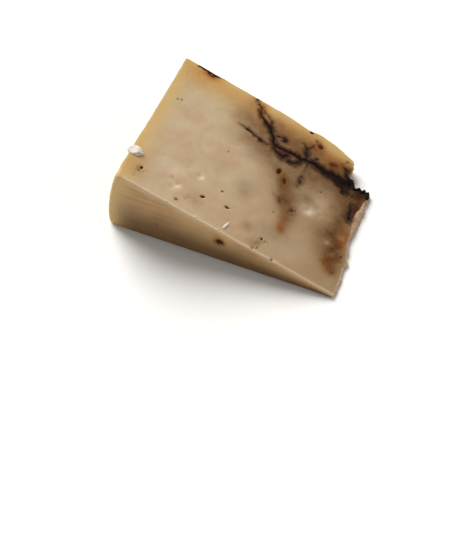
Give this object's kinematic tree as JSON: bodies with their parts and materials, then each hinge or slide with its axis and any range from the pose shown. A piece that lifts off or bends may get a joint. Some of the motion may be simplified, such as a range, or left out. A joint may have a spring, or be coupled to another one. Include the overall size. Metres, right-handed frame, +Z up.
{
  "type": "sheep milk cheese wedge",
  "caption": "Cut wedge of ripened ivory sheep milk cheese with dark mould veins and a broken tip, lying on one cut face.",
  "frame": {"origin": "centre of the bounding box in X and Y, at the cut face that the wedge lies on", "axes": "+X from the wheel's rim to the broken tip, +Y from the plain cut to the wheel's flat rind, +Z up, from the lower cut face to the upper one"},
  "size_m": [0.0988, 0.07, 0.0338],
  "materials": {
    "cheese_paste": "satin ivory paste, yellower by the rind, with blackish mould veins"
  },
  "bodies": {
    "root": {"cheese_wedge": "cheese_paste"}
  },
  "joints": []
}
